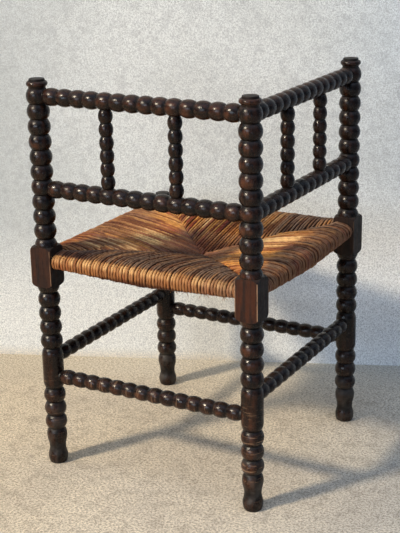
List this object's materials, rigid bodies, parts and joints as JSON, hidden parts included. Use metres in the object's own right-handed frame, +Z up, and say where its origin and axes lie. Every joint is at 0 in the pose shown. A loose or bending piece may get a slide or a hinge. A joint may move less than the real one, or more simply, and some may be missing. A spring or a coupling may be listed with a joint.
{
  "type": "corner chair",
  "caption": "Low-backed corner chair with turned beaded posts, back rails meeting at the back corner, beaded spindles and stretchers, and a woven rush seat in puffed triangular panels.",
  "frame": {"origin": "on the floor, under the middle of the seat, at the bottom centre of the bounding box", "axes": "+Z up. The sides of the seat lie along X and Y. The back corner post is at +X and -Y, and the sitter faces the short front corner post at -X and +Y."},
  "size_m": [0.454, 0.454, 0.729],
  "materials": {
    "dark_turned_wood": "dark stained and waxed, worn redder on edges and swellings",
    "plain_rail_wood": "bare wood, hidden inside the rush",
    "woven_rush": "twisted rush cord, dry with a slight sheen",
    "rush_stuffing": "short ends of rush packed in the seat, hidden"
  },
  "bodies": {
    "root": {"post_left": "dark_turned_wood", "post_back": "dark_turned_wood", "post_right": "dark_turned_wood", "post_front": "dark_turned_wood", "top_rail_left": "dark_turned_wood", "top_rail_right": "dark_turned_wood", "lower_rail_left": "dark_turned_wood", "lower_rail_right": "dark_turned_wood", "spindle_left_outer": "dark_turned_wood", "spindle_left_inner": "dark_turned_wood", "spindle_right_inner": "dark_turned_wood", "spindle_right_outer": "dark_turned_wood", "stretcher_back_left": "dark_turned_wood", "stretcher_back_right": "dark_turned_wood", "stretcher_front_right": "dark_turned_wood", "stretcher_front_left": "dark_turned_wood", "seat_rail_back_left": "plain_rail_wood", "seat_rail_back_right": "plain_rail_wood", "seat_rail_front_right": "plain_rail_wood", "seat_rail_front_left": "plain_rail_wood", "rush_seat": "woven_rush", "stuffing_back_left": "rush_stuffing", "stuffing_back_right": "rush_stuffing", "stuffing_front_right": "rush_stuffing", "stuffing_front_left": "rush_stuffing"}
  },
  "joints": []
}
